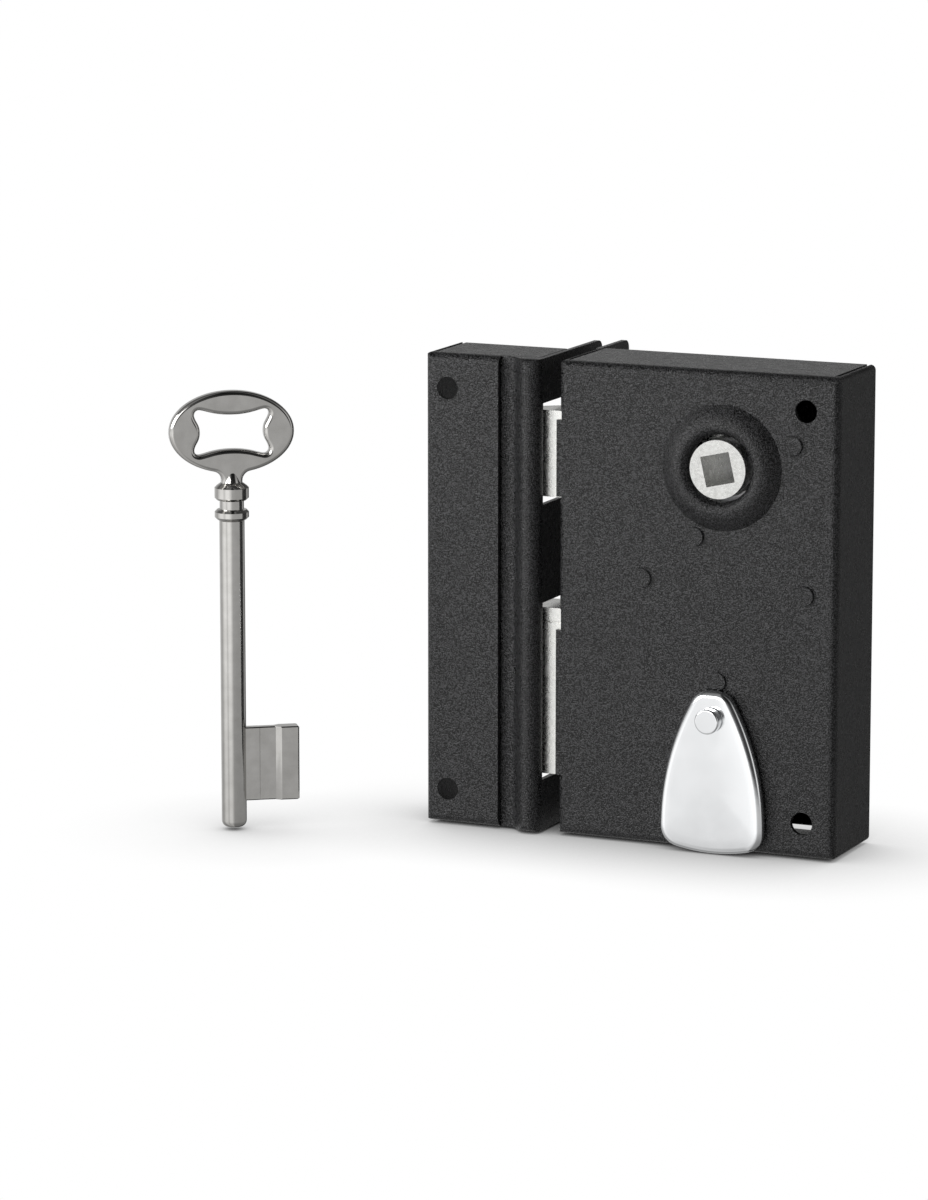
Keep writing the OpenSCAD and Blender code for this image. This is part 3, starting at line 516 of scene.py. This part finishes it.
def bow_rim():
    """Outline of the bow and its neck: an oval, with a round inner corner on each side of the neck."""
    half_w, half_h = KEY_BOW_HALF
    middle = KEY_BOW_FOOT + half_h

    def on_oval(turn):
        return Vector((half_w * math.cos(turn), middle + half_h * math.sin(turn)))

    def corner(turn):
        """Middle of the inner corner's circle that touches the oval at turn."""
        out = Vector((math.cos(turn) / half_w, math.sin(turn) / half_h)).normalized()
        return on_oval(turn) + KEY_FILLET * out

    low, high = -math.pi / 2, 0.0
    for _ in range(HALVINGS):
        turn = (low + high) / 2
        if corner(turn)[0] < KEY_NECK_R + KEY_FILLET:
            low = turn
        else:
            high = turn
    centre = corner(turn)
    touch = on_oval(turn) - centre
    last = math.atan2(touch[1], touch[0])
    right = []
    for i in range(KEY_FILLET_STEPS):
        angle = math.pi + (last - math.pi) * i / KEY_FILLET_STEPS
        right.append(centre + KEY_FILLET * Vector((math.cos(angle), math.sin(angle))))
    sweep = math.pi - 2 * turn
    oval = [on_oval(turn + sweep * i / KEY_OVAL_STEPS) for i in range(KEY_OVAL_STEPS + 1)]
    left = [Vector((-x, z)) for x, z in reversed(right)]
    foot = KEY_UPPER_COLLAR[1] - KEY_BOW_SUNK
    return [Vector((KEY_NECK_R, foot)), *right, *oval, *left, Vector((-KEY_NECK_R, foot))]


def bow_hole():
    """The hole's outline: a smooth line through the points of one quarter, mirrored to all four."""
    quarter = [Vector(point) for point in KEY_HOLE]
    half = quarter + [Vector((-x, z)) for x, z in reversed(quarter[:-1])]
    points = half[:-1] + [-point for point in half[:-1]]
    count = len(points)
    middle = Vector((0, KEY_BOW_FOOT + KEY_BOW_HALF[1]))
    outline = []
    for i in range(count):
        before, start, end, after = (points[(i + k) % count] for k in (-1, 0, 1, 2))
        for j in range(KEY_HOLE_STEPS):
            share = j / KEY_HOLE_STEPS
            pull = (end - before) * share
            pull += (2 * before - 5 * start + 4 * end - after) * share ** 2
            pull += (3 * start - before - 3 * end + after) * share ** 3
            outline.append(middle + start + pull / 2)
    return outline


def key_bow(shape):
    """The bow as a filled flat curve with round edges, stood upright."""
    curve = bpy.data.curves.new("bow", "CURVE")
    curve.dimensions = "2D"
    curve.fill_mode = "BOTH"
    curve.extrude = KEY_BOW_T / 2 - KEY_BOW_EDGE
    curve.bevel_depth = KEY_BOW_EDGE
    curve.bevel_resolution = KEY_BOW_EDGE_STEPS
    curve.offset = -KEY_BOW_EDGE
    for outline in (bow_rim(), bow_hole()):
        spline = curve.splines.new("POLY")
        spline.points.add(len(outline) - 1)
        for point, (x, z) in zip(spline.points, outline):
            point.co = (x, z, 0, 1)
        spline.use_cyclic_u = True
    flat = bpy.data.objects.new("bow", curve)
    mesh = bpy.data.meshes.new_from_object(flat)
    mesh.transform(Matrix.Rotation(math.radians(90), 4, "X"))
    shape.from_mesh(mesh)
    bpy.data.objects.remove(flat)
    bpy.data.meshes.remove(mesh)


def key_bit(shape):
    """The bit: a web with a fine step, and a thicker outer lip behind a slope."""
    web, lip = KEY_WEB_T / 2, KEY_LIP_T / 2
    low, high = KEY_BIT_SPAN
    side = [
        (0, web),
        (KEY_STEP_AT, web),
        (KEY_STEP_AT + KEY_STEP, web - KEY_STEP),
        (KEY_LIP_SLOPE[0], web - KEY_STEP),
        (KEY_LIP_SLOPE[1], lip),
        (KEY_BIT_REACH - KEY_LIP_CORNER, lip),
        (KEY_BIT_REACH, lip - KEY_LIP_CORNER),
    ]
    plan = [(x, -y) for x, y in side] + [(x, y) for x, y in reversed(side)]
    levels = (
        (low, KEY_BIT_EDGE),
        (low + KEY_BIT_EDGE, 0),
        (high - KEY_BIT_EDGE, 0),
        (high, KEY_BIT_EDGE),
    )
    rings = []
    for z, inset in levels:
        ring = []
        for x, y in plan:
            inward = inset if x > 0 else 0
            ring.append(shape.verts.new((x - inward, y - math.copysign(inset, y), z)))
        rings.append(ring)
    for lower, upper in zip(rings, rings[1:]):
        bridge(shape, lower, upper)
    shape.faces.new(rings[0])
    shape.faces.new(rings[-1])


def key():
    """The forged key, built in millimetres on its own axis and then stood in its place."""
    low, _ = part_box("key")
    shape = bmesh.new()
    key_stem(shape)
    key_bow(shape)
    key_bit(shape)
    corners = [corner.co for corner in nodes["key"].data.vertices]
    tip = [place for place in corners if place[2] < low[2] + KEY_TIP_BAND * MM]
    axis_x = (min(place[0] for place in tip) + max(place[0] for place in tip)) / 2
    axis_y = (min(place[1] for place in tip) + max(place[1] for place in tip)) / 2
    turned = Matrix.Rotation(math.radians(KEY_TURN), 4, "Z")
    shape.transform(Matrix.Translation((axis_x, axis_y, low[2])) @ turned @ Matrix.Scale(MM, 4))
    piece = new_piece("key_forged", shape, "key", "key_nickel")
    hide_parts("key")
    crisp = piece.modifiers.new("crisp", "EDGE_SPLIT")
    crisp.split_angle = math.radians(KEY_CRISP_ANGLE)


def spring_part(node, part):
    """The coil or the left leg of a CAD spring as a piece, and the point where the leg leaves the coil."""
    low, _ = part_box(node)
    shape = bmesh.new()
    shape.from_mesh(nodes[node].data)
    bmesh.ops.remove_doubles(shape, verts=shape.verts, dist=WELD * MM)
    tip = {corner for corner in shape.verts if corner.co[0] < low[0] + SPRING_TIP * MM}
    leg = {face for corner in tip for face in corner.link_faces}
    root = {corner for face in leg for corner in face.verts} - tip
    anchor = sum((corner.co for corner in shape.verts if corner in root), Vector()) / len(root)
    left_out = [face for face in shape.faces if (face in leg) == (part == "coil")]
    bmesh.ops.delete(shape, geom=left_out, context="FACES")
    bmesh.ops.holes_fill(shape, edges=shape.edges)
    piece = new_piece(f"{node}_{part}", shape, "lock", "steel")
    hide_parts(node)
    return piece, anchor


def leaning_spring(node):
    """The CAD spring in two pieces: its coil, and its leg with a mesh of its own."""
    spring_part(node, "coil")
    piece, anchor = spring_part(node, "leg")
    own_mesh(piece)


keyhole_cover()
key()
leaning_spring("latch_spring")
leaning_spring("lever_spring")


def area_light(name, place, aim, size, power):
    """A rectangular lamp that the camera doesn't see."""
    data = bpy.data.lights.new(name, "AREA")
    data.shape = "RECTANGLE"
    data.size, data.size_y = (side * MM for side in size)
    data.energy = power
    light = bpy.data.objects.new(name, data)
    light.visible_camera = False
    light.location = Vector(place) * MM
    light.rotation_euler = (Vector(aim) - Vector(place)).to_track_quat("-Z", "Y").to_euler()
    bpy.context.scene.collection.objects.link(light)
    return light


def ramp(tree, value, levels):
    """value, from 0 to 1, looked up in (position, brightness) pairs."""
    node = tree.nodes.new("ShaderNodeValToRGB")
    stops = node.color_ramp.elements
    stops[0].position, stops[1].position = levels[0][0], levels[-1][0]
    for position, _ in levels[1:-1]:
        stops.new(position)
    for stop, (_, level) in zip(stops, levels):
        stop.color = (level, level, level, 1)
    tree.links.new(value, node.inputs["Fac"])
    return node.outputs["Color"]


def mirrored_studio(tree):
    """The studio in glossy surfaces: bright at the left and the front, darker at the right and above."""
    direction = tree.nodes.new("ShaderNodeTexCoord").outputs["Generated"]
    turn = tree.nodes.new("ShaderNodeTexGradient")
    turn.gradient_type = "RADIAL"
    tree.links.new(direction, turn.inputs["Vector"])
    parts = tree.nodes.new("ShaderNodeSeparateXYZ")
    tree.links.new(direction, parts.inputs["Vector"])
    height = parts.outputs["Z"]
    blend = tree.nodes.new("ShaderNodeMix")
    blend.data_type = "RGBA"
    factor, low, high = (socket for socket in blend.inputs if socket.enabled)
    tree.links.new(mapped(tree, height, HORIZON, (0, 1)), factor)
    tree.links.new(ramp(tree, turn.outputs["Fac"], MIRRORED_LOW), low)
    tree.links.new(ramp(tree, turn.outputs["Fac"], MIRRORED_HIGH), high)
    light = tree.nodes.new("ShaderNodeBackground")
    result = next(socket for socket in blend.outputs if socket.enabled)
    tree.links.new(result, light.inputs["Color"])
    rise = mapped(tree, height, (-1, 1), (0, 1))
    tree.links.new(ramp(tree, rise, MIRRORED_HEIGHT), light.inputs["Strength"])
    return light.outputs["Background"]


def choose(tree, test, no, yes):
    """One of two shaders, by a test of the light path."""
    node = tree.nodes.new("ShaderNodeMixShader")
    tree.links.new(tree.nodes.new("ShaderNodeLightPath").outputs[test], node.inputs["Fac"])
    tree.links.new(no, node.inputs[1])
    tree.links.new(yes, node.inputs[2])
    return node.outputs["Shader"]


def studio():
    """The lamps, and a world that the camera sees as white and glossy surfaces as the mirrored studio."""
    world = bpy.data.worlds.new("studio")
    bpy.context.scene.world = world
    world.use_nodes = True
    tree = world.node_tree
    lit = tree.nodes["Background"]
    lit.inputs["Color"].default_value = WHITE
    lit.inputs["Strength"].default_value = WORLD_LIGHT
    seen = tree.nodes.new("ShaderNodeBackground")
    seen.inputs["Color"].default_value = WHITE
    light = choose(tree, "Is Glossy Ray", lit.outputs["Background"], mirrored_studio(tree))
    light = choose(tree, "Is Camera Ray", light, seen.outputs["Background"])
    tree.links.new(light, tree.nodes["World Output"].inputs["Surface"])
    area_light("left_lamp", **LEFT_LAMP)
    area_light("front_lamp", **FRONT_LAMP)
    back = area_light("back_lamp", **BACK_LAMP)
    back.visible_glossy = False


def floor():
    """A floor that the camera sees as white with a soft shadow, and that glossy surfaces don't mirror."""
    low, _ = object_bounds()
    shape = bmesh.new()
    bmesh.ops.create_grid(shape, x_segments=1, y_segments=1, size=FLOOR_HALF * MM)
    mesh = bpy.data.meshes.new("floor")
    shape.to_mesh(mesh)
    shape.free()
    ground = bpy.data.objects.new("floor", mesh)
    ground.location = (0, 0, low[2] - FLOOR_GAP * MM)
    ground.visible_glossy = False
    bpy.context.scene.collection.objects.link(ground)
    material = bpy.data.materials.new("floor")
    material.use_nodes = True
    tree = material.node_tree
    surface = tree.nodes["Principled BSDF"]
    surface.inputs["Base Color"].default_value = FLOOR_COLOUR
    surface.inputs["Roughness"].default_value = FLOOR_ROUGHNESS
    shade = tree.nodes.new("ShaderNodeAmbientOcclusion")
    shade.inputs["Distance"].default_value = FLOOR_SHADOW * MM
    seen = tree.nodes.new("ShaderNodeEmission")
    tree.links.new(shade.outputs["Color"], seen.inputs["Color"])
    light = choose(tree, "Is Camera Ray", surface.outputs["BSDF"], seen.outputs["Emission"])
    tree.links.new(light, tree.nodes["Material Output"].inputs["Surface"])
    mesh.materials.append(material)
    ground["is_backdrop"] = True


def camera():
    data = bpy.data.cameras.new("camera")
    data.lens = CAMERA_LENS
    data.clip_start, data.clip_end = (reach * MM for reach in CAMERA_CLIP)
    azimuth, elevation = math.radians(CAMERA_AZIMUTH), math.radians(CAMERA_ELEVATION)
    look = Vector((
        -math.sin(azimuth) * math.cos(elevation),
        math.cos(azimuth) * math.cos(elevation),
        -math.sin(elevation),
    ))
    eye = bpy.data.objects.new("camera", data)
    eye.location = (CAMERA_AIM - CAMERA_DISTANCE * look) * MM
    eye.rotation_euler = look.to_track_quat("-Z", "Y").to_euler()
    bpy.context.scene.collection.objects.link(eye)
    bpy.context.scene.camera = eye


studio()
floor()
camera()
bpy.context.scene.view_settings.view_transform = "Standard"
